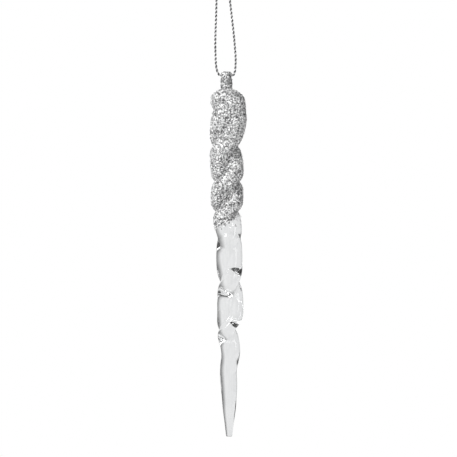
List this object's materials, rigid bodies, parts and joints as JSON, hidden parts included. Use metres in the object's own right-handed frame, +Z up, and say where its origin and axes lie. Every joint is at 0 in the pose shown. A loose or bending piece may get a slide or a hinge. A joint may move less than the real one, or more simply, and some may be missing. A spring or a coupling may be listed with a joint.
{
  "type": "icicle hanging ornament",
  "caption": "Clear twisted icicle ornament with a silver glitter upper half, hung by its eyelet stem from a loop of silver twisted cord.",
  "frame": {"origin": "hang point: the inner apex of the cord loop, just below the knot", "axes": "+Z up along the hanging cord and the icicle, +X to the right along the eyelet hole, -Y towards the viewer"},
  "size_m": [0.0142, 0.0133, 0.213],
  "materials": {
    "clear_plastic": "clear moulded styrene, glossy, slightly grey at the edges",
    "silver_glitter": "fine silver glitter flakes in a clear binder",
    "silver_cord": "twisted metallised yarn, silver"
  },
  "bodies": {
    "loop_top": {"cord_knot": "silver_cord"},
    "loop": {"cord_ply_a": "silver_cord", "cord_ply_b": "silver_cord"},
    "icicle": {"icicle_body": "clear_plastic", "glitter_coat": "silver_glitter"}
  },
  "joints": [
    {"name": "spin", "type": "hinge", "parent": "loop_top", "child": "loop", "pos_m": [0, 0, 0], "axis": [0, 0, 1], "range_deg": [-180, 180]},
    {"name": "swing", "type": "hinge", "parent": "loop", "child": "icicle", "pos_m": [0.0027, 0, -0.0645], "axis": [1, 0, 0], "range_deg": [-120, 120]}
  ]
}
